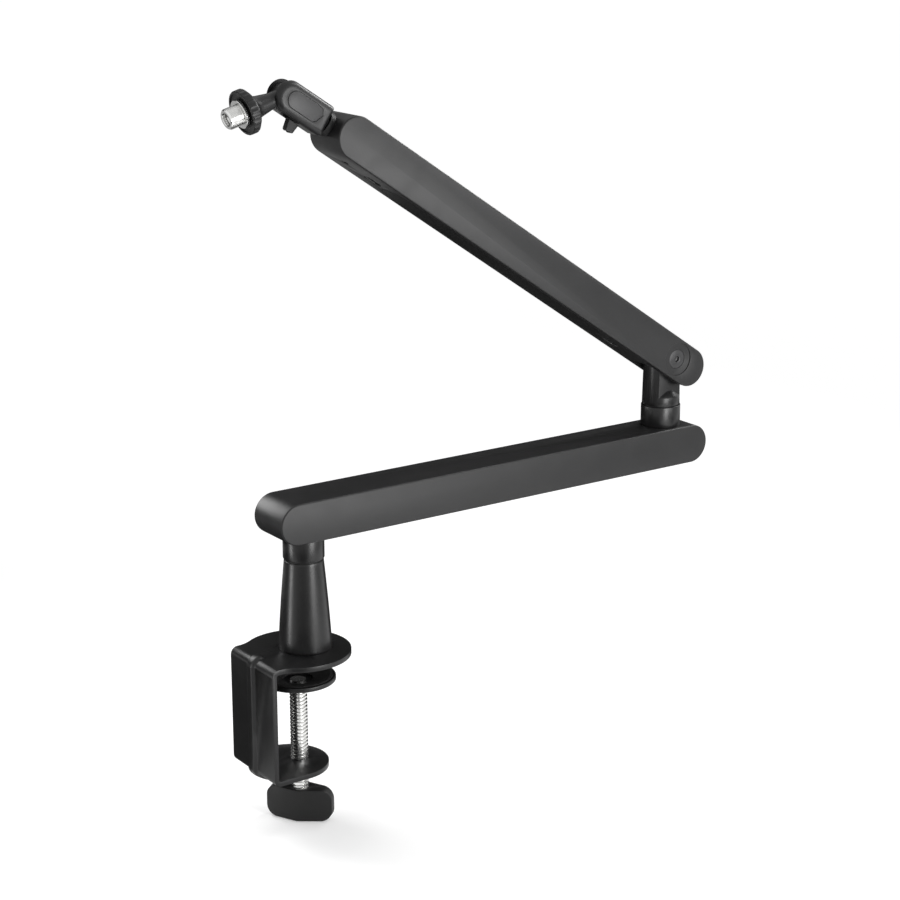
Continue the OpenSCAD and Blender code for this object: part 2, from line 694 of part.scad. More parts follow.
// The turned column with a domed foot, and the flat tongue that the upper arm hinges on
module elbow_column() color("#2e2e2e") difference() {
    translate([elbow_x, 0, 0]) intersection() {
        translate([0, 0, column_foot])
            cylinder(r1 = column_r, r2 = column_top_r, h = hinge_rise + tongue_head_r);
        union() {
            rod(column_r, column_foot, column_foot + column_round_h);
            translate([0, 0, column_foot + column_round_h])
                cylinder(r1 = column_r, r2 = tongue_w / 2, h = dome_h);
            translate([0, tongue_w / 2, hinge_z]) along_y()
                linear_extrude(tongue_w) tongue_side();
        }
    }
    translate([elbow_x, 0, 0])
        rod(spindle_r + seat_fit, column_foot - overcut, column_foot + column_bore_h);
    translate([elbow_x, beam_w / 2, hinge_z]) along_y()
        cylinder(r = hinge_bolt_r + run_fit, h = beam_w);
    translate([elbow_x - beam_h / 2, -crank_slot_w / 2, hinge_z + crank_slot_rise])
        cube([beam_h, crank_slot_w, tongue_head_r]);
    crank_place() translate([0, 0, -tongue_w / 2 + 2]) cylinder(r = crank_pin_r + run_fit,
        h = tongue_w - 4);
}

// Puts a shape that was drawn along Z on the crank pin's axis
module crank_place() translate([elbow_x + crank_arm * cos(crank_angle), 0,
    hinge_z + crank_arm * sin(crank_angle)]) along_y() children();

module elbow_spindle() color("silver") translate([elbow_x, 0, 0]) {
    rod(spindle_r, beam_bottom + pocket_h - face_gap, column_foot + column_bore_h);
    rod(elbow_thread_r, beam_bottom + pocket_h - face_gap - elbow_washer_t - elbow_nut_h - 1,
        beam_bottom + pocket_h - face_gap);
}

module elbow_washer() color("silver") translate([elbow_x, 0, 0])
    tube(elbow_washer_r, elbow_thread_r + seat_fit,
        beam_bottom + pocket_h - face_gap - elbow_washer_t, beam_bottom + pocket_h - face_gap);

module elbow_nut() color("silver") translate([elbow_x, 0, beam_bottom + pocket_h - face_gap
    - elbow_washer_t - elbow_nut_h]) difference() {
        cylinder(r = elbow_nut_r, h = elbow_nut_h, $fn = 6);
        translate([0, 0, -overcut])
            cylinder(r = elbow_thread_r + seat_fit, h = elbow_nut_h + 2 * overcut);
    }

module crank_pin() color("silver") crank_place() translate([0, 0, -tongue_w / 2 + 2])
    cylinder(r = crank_pin_r, h = tongue_w - 4);

// Bosses inside the shell's two sides that carry the hinge bolt
module hinge_bosses() for (side = [0, 1]) mirror([0, side, 0])
    translate([0, -tongue_w / 2 - tongue_gap, 0]) along_y()
        cylinder(r = hinge_boss_r, h = inner_w / 2 + 1 - tongue_w / 2 - tongue_gap);

module upper_arm_shell() color("#343434") in_upper_arm() difference() {
    union() {
        difference() {
            beam(-upper_span, hinge_overhang, beam_h, beam_w, beam_edge);
            beam(-upper_span, hinge_overhang, inner_h, inner_w, beam_edge);
        }
        hinge_bosses();
    }
    translate([0, beam_w / 2 + overcut, 0]) along_y()
        cylinder(r = hinge_bolt_r + seat_fit, h = beam_w + 2 * overcut);
    for (side = [0, 1]) mirror([0, side, 0]) {
        translate([0, -beam_w / 2 + recess_depth, 0]) along_y()
            cylinder(r = recess_r, h = recess_depth + overcut);
        translate([0, -tongue_w / 2 - tongue_gap - hinge_boss_web, 0]) along_y()
            cylinder(r = hinge_head_r + seat_fit, h = beam_w / 2);
    }
    translate([fork_start, -fork_slot_w / 2, -beam_h])
        cube([beam_h, fork_slot_w, 2 * beam_h]);
    translate([fork_start, -fork_open_w / 2, -beam_h])
        cube([beam_h, fork_open_w, beam_h + fork_open_top]);
    translate([-fork_slot_end, -fork_slot_w / 2, -beam_h])
        cube([fork_slot_end + beam_h, fork_slot_w, beam_h / 2 + wall + 1]);
    translate([0, 0, -beam_h / 2]) {
        cover_opening(-upper_cover_end, -upper_cover_start);
        for (x = [near_entry, far_entry]) translate([0, 0, -overcut])
            linear_extrude(wall + 2 * overcut)
                slot_plan(-x - entry_slot_l / 2, -x + entry_slot_l / 2, entry_slot_w);
        translate([-upper_span + plug_screw_back, 0, 0]) rod(3, -overcut, wall + overcut);
    }
    translate([-upper_span, 0, -tip_drop]) along_minus_x()
        cylinder(r = spigot_r + seat_fit, h = beam_h);
}

module hinge_bolt() color("#3a3a3a") in_upper_arm() {
    head_in = tongue_w / 2 + tongue_gap + hinge_boss_web;
    translate([0, -head_in, 0]) along_y() difference() {
        cylinder(r = hinge_head_r, h = hinge_head_h);
        translate([0, 0, hinge_head_h - 2.4]) cylinder(r = 2.9, h = 3, $fn = 6);
    }
    translate([0, head_in + hinge_head_h, 0]) along_y()
        cylinder(r = hinge_bolt_r, h = 2 * head_in + hinge_head_h);
}

module hinge_nut() color("silver") in_upper_arm()
    translate([0, tongue_w / 2 + tongue_gap + hinge_boss_web + hinge_head_h, 0]) along_y()
        difference() {
            cylinder(r = hinge_head_r - 0.4, h = hinge_head_h, $fn = 6);
            translate([0, 0, -overcut])
                cylinder(r = hinge_bolt_r + seat_fit, h = hinge_head_h + 2 * overcut);
        }

// Two washers between the tongue and the shell's bosses
module friction_washers() color("ivory") in_upper_arm() for (side = [0, 1])
    mirror([0, side, 0]) translate([0, -tongue_w / 2 - face_gap / 2, 0]) along_y()
        difference() {
            cylinder(r = washer_r, h = tongue_gap - face_gap);
            translate([0, 0, -overcut]) cylinder(r = hinge_bolt_r + seat_fit, h = 3);
        }

// Flat link from the crank pin, with a round rod at its end that goes into the spring
module spring_link() color("silver") in_upper_arm()
    translate([crank_local_x, 0, crank_local_z]) difference() {
        union() {
            translate([0, link_t / 2, 0]) along_y() cylinder(r = link_eye_r, h = link_t);
            translate([-link_l, -link_t / 2, -link_bar_h / 2])
                cube([link_l, link_t, link_bar_h]);
            translate([1 - link_l, 0, -link_rod_drop]) along_minus_x()
                cylinder(r = link_rod_r, h = link_rod_l);
        }
        translate([0, link_t, 0]) along_y()
            cylinder(r = crank_pin_r + run_fit, h = 2 * link_t);
    }

module balance_spring() color("dimgray") in_upper_arm()
    translate([-spring_start, 0, spring_z]) along_minus_x()
        tube(spring_r, spring_r - spring_wire, 0, spring_body_l);

// Block across the arm that the spring's far end is hooked to
module spring_anchor() color("silver") in_upper_arm() {
    translate([-anchor_start - anchor_l, 0, 0]) rotate([0, 90, 0]) linear_extrude(anchor_l)
        beam_section(inner_h - 2 * seat_fit, inner_w - 2 * seat_fit, beam_edge);
    translate([-anchor_start, 0, spring_z]) rotate([0, 90, 0])
        cylinder(r = spring_r - spring_wire - 0.3, h = anchor_gap + anchor_bite);
}

module upper_cable_cover() color("#222222") in_upper_arm() translate([0, 0, -beam_h / 2])
    cover(-upper_cover_end, -upper_cover_start);

// Plug in the far end of the upper arm that holds the tip's spigot
module tip_plug() color("#8a8a8a") in_upper_arm() difference() {
    intersection() {
        beam(-upper_span, 0, inner_h - 2 * seat_fit, inner_w - 2 * seat_fit, beam_edge);
        translate([-upper_span - beam_h, -beam_w, -beam_h])
            cube([beam_h + plug_l, 2 * beam_w, 2 * beam_h]);
    }
    translate([-upper_span + plug_l + overcut, 0, -tip_drop]) along_minus_x()
        cylinder(r = spigot_r + seat_fit, h = 2 * beam_h);
    translate([-upper_span + plug_screw_back, 0, 0]) rod(2.1, -beam_h, -spigot_r);
}

module plug_screw() color("#3a3a3a") in_upper_arm()
    translate([-upper_span + plug_screw_back, 0, 0])
        rod(2, -beam_h / 2 + 1, -spigot_r - tip_drop - seat_fit);

// Steel spigot along the arm, grooved for the thumb screw's point
module tip_spigot() color("silver") in_tip() {
    back = tip_reach - upper_span + plug_l;
    translate([back, 0, 0]) along_minus_x()
        cylinder(r = spigot_r, h = back - thumb_back - groove_w / 2);
    translate([thumb_back + groove_w / 2, 0, 0]) along_minus_x()
        cylinder(r = groove_r, h = groove_w);
    translate([thumb_back - groove_w / 2, 0, 0]) along_minus_x()
        cylinder(r = spigot_r, h = thumb_back - groove_w / 2 - spigot_end);
}

module spigot_washer() color("#1c1c1c") in_tip()
    translate([tip_length + tip_gap - seat_fit, 0, 0]) along_minus_x() difference() {
        cylinder(r = spigot_r + 3, h = tip_gap - seat_fit - face_gap);
        translate([0, 0, -overcut]) cylinder(r = spigot_r + seat_fit, h = 3 * tip_gap);
    }

// A rectangle with round corners, centred
module round_rect(w, h, r) {
    square([w - 2 * r, h], center = true);
    square([w, h - 2 * r], center = true);
    for (x = [-1, 1], y = [-1, 1]) translate([x * (w / 2 - r), y * (h / 2 - r)]) circle(r = r);
}

// Outline of the flat caps on the housing's sides: round at the neck, bevelled at the arm
module cap_outline(grow) {
    h = cap_h / 2 + grow;
    end = cap_end + grow;
    translate([cap_round_x, 0]) circle(r = h);
    polygon([[cap_round_x, -h], [end - 6, -h], [end - 3.5, 1.8 - h], [end, 1.4],
        [end - 2.7, h - 1], [end - 9, h], [cap_round_x, h]]);
}

// Side outline of the housing: a full round at the neck, round corners at the arm
module housing_side() {
    circle(r = tip_r);
    translate([0, -tip_r]) square([tip_length - tip_corner_r, 2 * tip_r]);
    translate([0, tip_corner_r - tip_r]) square([tip_length, 2 * (tip_r - tip_corner_r)]);
    for (side = [-1, 1]) translate([tip_length - tip_corner_r, side * (tip_r - tip_corner_r)])
        circle(r = tip_corner_r);
}

// The housing's body: its edges are round in section, from the side and from above
module housing_body() intersection() {
    union() {
        along_y() rotate_extrude() intersection() {
            round_rect(2 * tip_r, tip_w, tip_edge_r);
            translate([0, -tip_w]) square([tip_r, 2 * tip_w]);
        }
        rotate([0, 90, 0]) linear_extrude(tip_length)
            round_rect(2 * tip_r, tip_w, tip_edge_r);
    }
    translate([0, tip_w, 0]) along_y() linear_extrude(2 * tip_w) housing_side();
    translate([0, 0, -2 * tip_r]) linear_extrude(4 * tip_r)
        translate([tip_length / 2 - tip_r, 0])
            round_rect(tip_length + 2 * tip_r, tip_w, tip_corner_r);
}

// Puts a shape in the frame of the housing's body, which droops a little from the spigot
module in_housing() in_tip() rotate([0, -tip_tilt, 0]) children();

// The housing turns on the spigot and forks round the neck's knuckle
module tip_housing() color("#2a2a2a") difference() {
    in_housing() housing_body();
    in_tip() {
        translate([tip_length + overcut, 0, 0]) along_minus_x()
            cylinder(r = spigot_r + run_fit, h = tip_length + overcut - spigot_end + 0.5);
        translate([-2 * tip_r, -fork_slot / 2, -2 * tip_r])
            cube([2 * tip_r + fork_depth, fork_slot, 4 * tip_r]);
        translate([0, tip_w / 2 - cap_t - 0.6, 0]) along_y()
            cylinder(r = tilt_pin_r + seat_fit, h = tip_w - 2 * cap_t - 1.2);
        translate([thumb_back, 0, -tip_r - 2 * overcut])
            cylinder(r = thumb_r + run_fit, h = tip_r + overcut);
    }
    in_housing() for (side = [0, 1]) mirror([0, side, 0])
        translate([0, -tip_w / 2 + cap_t, 0]) along_y()
            linear_extrude(cap_t + overcut) cap_outline(cap_groove);
}

module cheek_caps() color("#555555") in_housing() for (side = [0, 1]) mirror([0, side, 0])
    translate([0, -tip_w / 2 + cap_t, 0]) along_y()
        linear_extrude(cap_t + cap_proud) cap_outline(0);

module tilt_pin() color("silver") in_tip() translate([0, tip_w / 2 - cap_t - 0.7, 0])
    along_y() cylinder(r = tilt_pin_r, h = tip_w - 2 * cap_t - 1.4);

// Small wing screw that locks the housing on its spigot
module thumb_screw() color("#1c1c1c") in_tip() translate([thumb_back, 0, 0]) {
    wing_top = -tip_r - thumb_gap;
    rod(thumb_r, wing_top - thumb_wing_h / 2, -groove_r - 0.3);
    translate([0, thumb_wing_t / 2, wing_top]) along_y() linear_extrude(thumb_wing_t) {
        polygon([[-thumb_wing_w / 2, 0], [thumb_wing_w / 2, 0],
            [thumb_end_w / 2, thumb_lobe_r - thumb_wing_h],
            [-thumb_end_w / 2, thumb_lobe_r - thumb_wing_h]]);
        for (side = [-1, 1]) translate([side * (thumb_end_w / 2 - thumb_lobe_r),
            thumb_lobe_r - thumb_wing_h]) circle(r = thumb_lobe_r);
    }
}

// Neck: a knuckle, a tapered stem and a flare behind the lock ring
module neck() color("#3a3a3a") difference() {
    union() {
        in_head() translate([0, knuckle_w / 2, 0]) along_y()
            cylinder(r = knuckle_r, h = knuckle_w);
        on_neck() rotate_extrude() polygon([[0, 0], [neck_r, 0], [neck_r, neck_start],
            [neck_end_r, neck_end], [neck_end_r + 0.6, neck_end + 2],
            [neck_end_r + 1.9, neck_end + 3.8], [flare_end_r - 3.2, neck_end + 5.4],
            [flare_end_r - 1.1, neck_end + 6.5], [flare_end_r - 0.3, neck_end + 7.3],
            [flare_end_r, ring_start - face_gap], [0, ring_start - face_gap]]);
    }
    in_head() translate([0, knuckle_w, 0]) along_y()
        cylinder(r = tilt_pin_r + run_fit, h = 2 * knuckle_w);
    on_neck() rod(stud_d / 2 + seat_fit, ring_start - stud_depth - overcut,
        ring_start + overcut);
}

// The 3/8 inch stud in the neck's end
module mic_stud() color("silver") on_neck()
    rod(stud_d / 2, ring_start - stud_depth, ring_start + ring_w + adapter_flange_t + stud_out);

// The 5/8 inch adapter: a flange and a thread, drawn at its outer diameter
module thread_adapter() color("silver") on_neck() {
    flange = ring_start + ring_w + face_gap;
    thread_foot = flange + adapter_flange_t;
    thread_end = thread_foot + mic_thread_l - thread_chamfer;
    tube(adapter_flange_r, stud_d / 2 + seat_fit, flange, thread_foot);
    tube(mic_thread_d / 2, stud_d / 2 + seat_fit, thread_foot, thread_end);
    translate([0, 0, thread_end]) difference() {
        cylinder(r1 = mic_thread_d / 2, r2 = mic_thread_d / 2 - thread_chamfer,
            h = thread_chamfer);
        translate([0, 0, -overcut])
            cylinder(r = stud_d / 2 + seat_fit, h = thread_chamfer + 2 * overcut);
    }
}

// Scalloped ring that locks the microphone clip on the thread, with rounded edges
module lock_ring() color("#1c1c1c") on_neck() translate([0, 0, ring_start]) difference() {
    rotate_extrude() intersection() {
        translate([0, ring_w / 2]) round_rect(2 * ring_r, ring_w, ring_edge);
        translate([stud_d / 2 + run_fit, 0]) square([ring_r, ring_w]);
    }
    translate([0, 0, ring_w - 1]) tube(ring_r - 2, adapter_flange_r - 2, 0, 2);
    for (i = [0 : ring_scallops - 1]) rotate([0, 0, i * 360 / ring_scallops])
        translate([ring_r + scallop_r - scallop_depth, 0, -overcut])
            cylinder(r = scallop_r, h = ring_w + 2 * overcut, $fn = 48);
}

clamp_frame();
desk_pad();
jaw_nut();
post();
post_screws();
post_lower_bush();
post_upper_bush();
pressure_plate();
pressure_pad();
clamp_screw();
clamp_knob();
screw_tip();
lower_arm_shell();
base_collar();
base_spindle();
spindle_washer();
spindle_nut();
lower_cable_cover();
elbow_collar();
elbow_bush();
elbow_cap();
elbow_column();
elbow_spindle();
elbow_washer();
elbow_nut();
crank_pin();
upper_arm_shell();
hinge_bolt();
hinge_nut();
friction_washers();
balance_spring();
spring_anchor();
upper_cable_cover();
tip_plug();
plug_screw();
tip_spigot();
spigot_washer();
spring_link();
tip_housing();
cheek_caps();
tilt_pin();
thumb_screw();
neck();
mic_stud();
thread_adapter();
lock_ring();
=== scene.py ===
import json
import math

import bmesh
import bpy
import numpy as np
from mathutils import Matrix, Vector


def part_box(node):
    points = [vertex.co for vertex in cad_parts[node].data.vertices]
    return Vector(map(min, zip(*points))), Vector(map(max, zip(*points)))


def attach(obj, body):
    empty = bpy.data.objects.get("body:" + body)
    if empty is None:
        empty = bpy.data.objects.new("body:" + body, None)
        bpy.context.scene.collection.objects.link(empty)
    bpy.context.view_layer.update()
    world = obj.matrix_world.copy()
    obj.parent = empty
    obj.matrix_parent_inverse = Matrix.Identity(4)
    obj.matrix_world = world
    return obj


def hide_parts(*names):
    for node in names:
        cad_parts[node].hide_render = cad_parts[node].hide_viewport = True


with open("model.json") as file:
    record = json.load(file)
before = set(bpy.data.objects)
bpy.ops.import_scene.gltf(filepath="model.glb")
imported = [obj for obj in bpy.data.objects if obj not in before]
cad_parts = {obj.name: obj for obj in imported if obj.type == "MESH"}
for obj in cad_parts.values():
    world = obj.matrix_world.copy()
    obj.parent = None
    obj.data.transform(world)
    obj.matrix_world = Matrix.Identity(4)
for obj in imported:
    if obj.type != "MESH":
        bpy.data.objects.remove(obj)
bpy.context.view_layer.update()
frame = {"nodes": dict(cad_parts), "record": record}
nodes = frame["nodes"]
MM = 0.001

# The neck's axis: a point on it and its direction, out to the microphone thread
NECK_AT = (-0.0082368, 0.0, 0.4377936)
NECK_ALONG = (-0.958820, 0.0, -0.284015)
# One pitch of each thread's outline, as (share of the pitch, share of the depth)
SCREW_THREAD = ((0.0, 1), (0.37, 1), (0.5, 0), (0.87, 0))
MIC_THREAD = ((0.05, 0), (0.4, 1), (0.6, 1), (0.95, 0))
# The two ways that scratches run: the noise's turn and its stretch along X, Y and Z
SCRATCH_WAYS = (((0.3, 0.9, 0.2), (1.0, 40.0, 12.0)), ((1.1, 0.2, 0.7), (30.0, 1.0, 9.0)))
# How far a finish's colour drifts, how much lighter a scratch is, and how far the grain and
# the dull patches move the roughness
DRIFT = 0.1
SCRATCH_LIGHTER = 1.6
GRAIN_ROUGHNESS = 0.04
DULL_ROUGHNESS = 0.1
# Foam's pores in cells per metre, and the stretch of machined metal's lines along X, Y and Z
PORES = 1400.0
LINES = (300.0, 300.0, 9000.0)


# Shader nodes
def node_group(name, inputs, outputs):
    """A shader node group with float inputs (name: default) and float outputs."""
    tree = bpy.data.node_groups.new(name, "ShaderNodeTree")
    for key, value in inputs.items():
        socket = tree.interface.new_socket(name=key, in_out="INPUT", socket_type="NodeSocketFloat")
        socket.default_value = value
    for key in outputs:
        tree.interface.new_socket(name=key, in_out="OUTPUT", socket_type="NodeSocketFloat")
    return tree, tree.nodes.new("NodeGroupInput"), tree.nodes.new("NodeGroupOutput")


def noise_in(tree, vector, detail=2.0):
    """A noise texture on a vector, in a tree."""
    noise = tree.nodes.new("ShaderNodeTexNoise")
    noise.inputs["Detail"].default_value = detail
    tree.links.new(vector, noise.inputs["Vector"])
    return noise


def blend(tree, factor, first, second):
    """Two values mixed by a fixed factor, as an output."""
    node = tree.nodes.new("ShaderNodeMix")
    node.inputs["Factor"].default_value = factor
    tree.links.new(first, node.inputs["A"])
    tree.links.new(second, node.inputs["B"])
    return node.outputs["Result"]


def map_range(tree, source, start, stop, low=0.0, high=1.0):
    """A value between start and stop mapped onto low to high, as an output."""
    node = tree.nodes.new("ShaderNodeMapRange")
    for key, value in (("From Min", start), ("From Max", stop), ("To Min", low), ("To Max", high)):
        node.inputs[key].default_value = value
    tree.links.new(source, node.inputs["Value"])
    return node.outputs["Result"]


def calculate(tree, operation, first, second):
    """A sum, product or the like of two outputs or numbers, as an output."""
    node = tree.nodes.new("ShaderNodeMath")
    node.operation = operation
    for socket, value in zip(node.inputs, (first, second)):
        if isinstance(value, float):
            socket.default_value = value
        else:
            tree.links.new(value, socket)
    return node.outputs[0]


def coat_group():
    """Sprayed or blasted finish: broad tone drift, soft peel and a fine grain, all from 0 to 1.

    Peel and Grain are in cells per metre. Height is the peel with a little of the grain on it.
    """
    tree, entry, leave = node_group("coat", {"Peel": 900.0, "Grain": 4000.0},
                                    ("Tone", "Grain", "Height"))
    where = tree.nodes.new("ShaderNodeTexCoord").outputs["Object"]
    broad = noise_in(tree, where, 4.0)
    broad.inputs["Scale"].default_value = 30.0
    peel, grain = noise_in(tree, where), noise_in(tree, where)
    tree.links.new(entry.outputs["Peel"], peel.inputs["Scale"])
    tree.links.new(entry.outputs["Grain"], grain.inputs["Scale"])
    tone = blend(tree, 0.35, broad.outputs["Fac"], grain.outputs["Fac"])
    height = blend(tree, 0.3, peel.outputs["Fac"], grain.outputs["Fac"])
    tree.links.new(tone, leave.inputs["Tone"])
    tree.links.new(grain.outputs["Fac"], leave.inputs["Grain"])
    tree.links.new(height, leave.inputs["Height"])
    return tree


def handling_group():
    """Faint marks of handling: short fine scratches in two directions, and a few dull patches."""
    tree, entry, leave = node_group("handling", {"Size": 60.0}, ("Scratches", "Dull"))
    where = tree.nodes.new("ShaderNodeTexCoord").outputs["Object"]
    scratches = []
    for turn, stretch in SCRATCH_WAYS:
        spread = tree.nodes.new("ShaderNodeMapping")
        spread.inputs["Rotation"].default_value = turn
        spread.inputs["Scale"].default_value = stretch
        tree.links.new(where, spread.inputs["Vector"])
        noise = noise_in(tree, spread.outputs["Vector"], 1.0)
        tree.links.new(entry.outputs["Size"], noise.inputs["Scale"])
        scratches.append(map_range(tree, noise.outputs["Fac"], 0.72, 0.8))
    dull = noise_in(tree, where, 5.0)
    tree.links.new(entry.outputs["Size"], dull.inputs["Scale"])
    tree.links.new(calculate(tree, "MAXIMUM", *scratches), leave.inputs["Scratches"])
    tree.links.new(map_range(tree, dull.outputs["Fac"], 0.45, 0.7), leave.inputs["Dull"])
    return tree


COAT = coat_group()
HANDLING = handling_group()


class Material:
    """An empty node material with short ways to add and join its nodes."""

    def __init__(self, name):
        self.mat = bpy.data.materials.new(name)
        self.mat.use_nodes = True
        self.tree = self.mat.node_tree
        self.shader = self.tree.nodes["Principled BSDF"]

    def add(self, kind, **values):
        """A new node with its own settings."""
        node = self.tree.nodes.new(kind)
        for key, value in values.items():
            setattr(node, key, value)
        return node

    def join(self, source, target):
        """A link from an output to a socket."""
        self.tree.links.new(source, target)

    def fix(self, values):
        """Sets the shader's own sockets."""
        for key, value in values.items():
            self.shader.inputs[key].default_value = value

    def drive(self, source, key):
        """Joins an output to one of the shader's sockets."""
        self.join(source, self.shader.inputs[key])

    def use(self, group, **values):
        """A shared group with its inputs set."""
        node = self.add("ShaderNodeGroup", node_tree=group)
        for key, value in values.items():
            node.inputs[key].default_value = value
        return node

    def spread(self, source, low, high, start=0.25, stop=0.75):
        """A value between start and stop mapped onto low to high."""
        return map_range(self.tree, source, start, stop, low, high)

    def tint(self, source, dark, light):
        """Colours from dark to light by a value, as a colour output."""
        ramp = self.add("ShaderNodeValToRGB")
        for stop, place, colour in zip(ramp.color_ramp.elements, (0.3, 0.7), (dark, light)):
            stop.position = place
            stop.color = (*colour, 1)
        self.join(source, ramp.inputs["Fac"])
        return ramp.outputs["Color"]

    def dent(self, source, strength, distance=0.0002, invert=False):
        """Bends the shader's normal by a height."""
        height = self.add("ShaderNodeBump", invert=invert)
        height.inputs["Strength"].default_value = strength
        height.inputs["Distance"].default_value = distance
        self.join(source, height.inputs["Height"])
        self.drive(height.outputs["Normal"], "Normal")


def finish(name, colour, rough, spec=0.5, metallic=0.0, peel=900.0, grain=4000.0, bump=0.05,
           marks=0.5):
    """A coated, moulded or bare surface: drifting tone, grain, peel, scratches and dull patches.

    marks is how much the scratches show and the dull patches change the roughness.
    """
    m = Material(name)
    m.fix({"Metallic": metallic, "Specular IOR Level": spec})
    coat = m.use(COAT, Peel=peel, Grain=grain)
    handled = m.use(HANDLING)
    base = m.tint(coat.outputs["Tone"], [c * (1 - DRIFT) for c in colour],
                  [c * (1 + DRIFT) for c in colour])
    mix = m.add("ShaderNodeMix", data_type="RGBA")
    m.join(m.spread(handled.outputs["Scratches"], 0.0, marks, 0.0, 1.0), mix.inputs["Factor"])
    m.join(base, mix.inputs["A"])
    mix.inputs["B"].default_value = (*[c * SCRATCH_LIGHTER for c in colour], 1)
    m.drive(mix.outputs["Result"], "Base Color")
    grained = m.spread(coat.outputs["Grain"], rough - GRAIN_ROUGHNESS, rough + GRAIN_ROUGHNESS)
    dulled = m.spread(handled.outputs["Dull"], 0.0, DULL_ROUGHNESS * marks, 0.0, 1.0)
    m.drive(calculate(m.tree, "ADD", grained, dulled), "Roughness")
    m.dent(coat.outputs["Height"], bump)
    return m.mat


def foam(name, colour):
    """Closed-cell foam or rubber: round pores that dent the surface, with painted shade that
    darkens the colour in the dents, mixed with a random grain tone.
    """
    m = Material(name)
    m.fix({"Roughness": 0.85, "Specular IOR Level": 0.25})
    where = m.add("ShaderNodeTexCoord")
    pores = m.add("ShaderNodeTexVoronoi", feature="F1")
    pores.inputs["Scale"].default_value = PORES
    m.join(where.outputs["Object"], pores.inputs["Vector"])
    coat = m.use(COAT, Peel=300.0, Grain=2500.0)
    # Painted shade in the pores: the colour is darker where the pores dent the surface, varied by
    # the random grain tone
    both = calculate(m.tree, "MULTIPLY", pores.outputs["Distance"], coat.outputs["Grain"])
    m.drive(m.tint(both, [c * 1.4 for c in colour], [c * 0.6 for c in colour]), "Base Color")
    m.dent(pores.outputs["Distance"], 0.5, invert=True)
    return m.mat


def machined(name, colour, rough):
    """Turned or drawn bright metal: fine lines across the axis move the roughness and the tone."""
    m = Material(name)
    m.fix({"Metallic": 1.0})
    where = m.add("ShaderNodeTexCoord")
    lines = m.add("ShaderNodeMapping")
    lines.inputs["Scale"].default_value = LINES
    m.join(where.outputs["Object"], lines.inputs["Vector"])
    noise = noise_in(m.tree, lines.outputs["Vector"], 3.0)
    noise.inputs["Scale"].default_value = 1.0
    coat = m.use(COAT, Peel=500.0, Grain=3000.0)
    m.drive(m.tint(coat.outputs["Tone"], [c * 0.9 for c in colour], colour), "Base Color")
    lined = m.spread(noise.outputs["Fac"], rough - 0.05, rough + 0.05)
    toned = m.spread(coat.outputs["Tone"], -0.03, 0.03)
    m.drive(calculate(m.tree, "ADD", lined, toned), "Roughness")
    m.dent(noise.outputs["Fac"], 0.06, distance=0.0001)
    return m.mat


PAINT = finish("clamp_paint", (0.006, 0.006, 0.0062), 0.35, spec=0.35, peel=1100, bump=0.12)
ARM = finish("arm_anodised", (0.010, 0.010, 0.0103), 0.42, spec=0.35, peel=5000, grain=9000,
             bump=0.06)
POST = finish("post_paint", (0.006, 0.006, 0.0062), 0.29, spec=0.35, bump=0.06)
HEAD = finish("head_paint", (0.009, 0.009, 0.0093), 0.36, spec=0.35, bump=0.06)
CAP = finish("cap_paint", (0.038, 0.038, 0.039), 0.42, spec=0.35, peel=3000, bump=0.06)
PLASTIC = finish("black_plastic", (0.006, 0.006, 0.006), 0.5, spec=0.28, peel=2500, bump=0.25,
                 marks=0.8)
RUBBER = foam("pad_foam", (0.012, 0.012, 0.012))
BOLT = finish("black_oxide", (0.022, 0.022, 0.023), 0.34, spec=0.5, peel=2000, bump=0.08)
STEEL = machined("bright_nickel", (0.78, 0.78, 0.77), 0.22)
ZINC = machined("zinc_plate", (0.55, 0.56, 0.57), 0.35)
CAST = finish("plain_cast", (0.45, 0.45, 0.46), 0.5, metallic=1.0, peel=1500, bump=0.3)
SPRING = machined("spring_wire", (0.3, 0.3, 0.31), 0.35)
BY_SLOT = {
    "clamp_paint": PAINT, "pad_rubber": RUBBER, "post_paint": POST, "arm_black": ARM,
    "head_paint": HEAD, "cap_paint": CAP, "cover_plastic": PLASTIC, "black_plastic": PLASTIC,
    "bush_plastic": PLASTIC, "steel": ZINC, "bright_steel": STEEL, "spring_steel": SPRING,
    "dark_steel": BOLT, "arm_inner": CAST,
}
SLOT_OF = {part["node"]: part["material_slot"] for part in frame["record"]["subparts"]}
BODY_OF = {node: body for body, members in frame["record"]["behaviour"]["bodies"].items()
           for node in members}
for node_name, slot_name in SLOT_OF.items():
    mesh = nodes[node_name].data
    mesh.materials.clear()
    mesh.materials.append(BY_SLOT[slot_name])


# Shaping
# Distances in metres under which points are joined, in a CAD mesh and in a grid of points
CAD_MERGE = 2e-6
GRID_MERGE = 1e-7
# Angles in degrees: faces that count as one, edges that are rounded, and edges kept sharp
FLAT_ANGLE = 0.3
ROUND_ANGLE = 32.0
SMOOTH_ANGLE = 40.0
THREAD_SMOOTH_ANGLE = 35.0
ROUND_SEGMENTS = 2


def show(name, data):
    """A new object with its data, in the scene."""
    obj = bpy.data.objects.new(name, data)
    bpy.context.scene.collection.objects.link(obj)
    return obj


def set_smooth(mesh, angle):
    """Smooth shading, with edges sharper than an angle in degrees kept sharp."""
    mesh.polygons.foreach_set("use_smooth", [True] * len(mesh.polygons))
    mesh.set_sharp_from_angle(angle=math.radians(angle))


def stand_for(mesh, name, *replaced):
    """Puts a mesh in the scene in place of CAD nodes, riding on the first one's body."""
    obj = show(name, mesh)
    first = replaced[0]
    if not mesh.materials:
        mesh.materials.append(BY_SLOT[SLOT_OF[first]])
    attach(obj, BODY_OF[first])
    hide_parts(*replaced)


